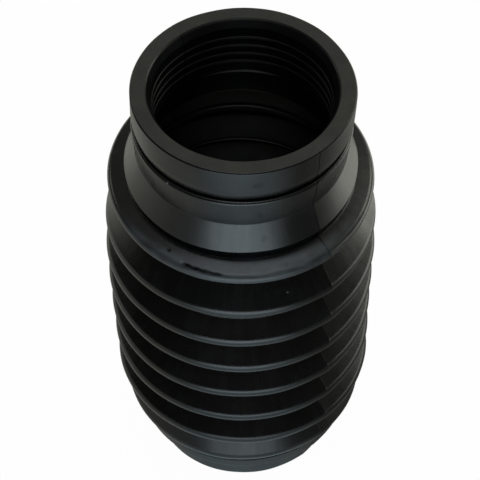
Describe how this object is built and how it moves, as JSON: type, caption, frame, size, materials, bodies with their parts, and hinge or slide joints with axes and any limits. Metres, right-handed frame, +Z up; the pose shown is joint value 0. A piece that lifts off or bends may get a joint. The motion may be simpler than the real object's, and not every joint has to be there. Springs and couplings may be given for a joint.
{
  "type": "rubber bellows boot",
  "caption": "Moulded rubber bellows boot: a collar with a panel slot and sealing ribs, a neck and cone, rounded folds and a grooved clamp cuff that keep dirt off a moving rod or joint.",
  "frame": {"origin": "on the boot's axis, in the plane of the lower cuff's end face that it stands on", "axes": "+Z up along the axis to the wide collar; the moulding's parting line lies in a plane through Z"},
  "size_m": [0.0786, 0.0786, 0.1493],
  "materials": {
    "moulded_black_rubber": "satin black moulded rubber with cool highlights, the rim's top face matt and faintly brown"
  },
  "bodies": {
    "root": {"bellows_boot": "moulded_black_rubber"}
  },
  "joints": []
}
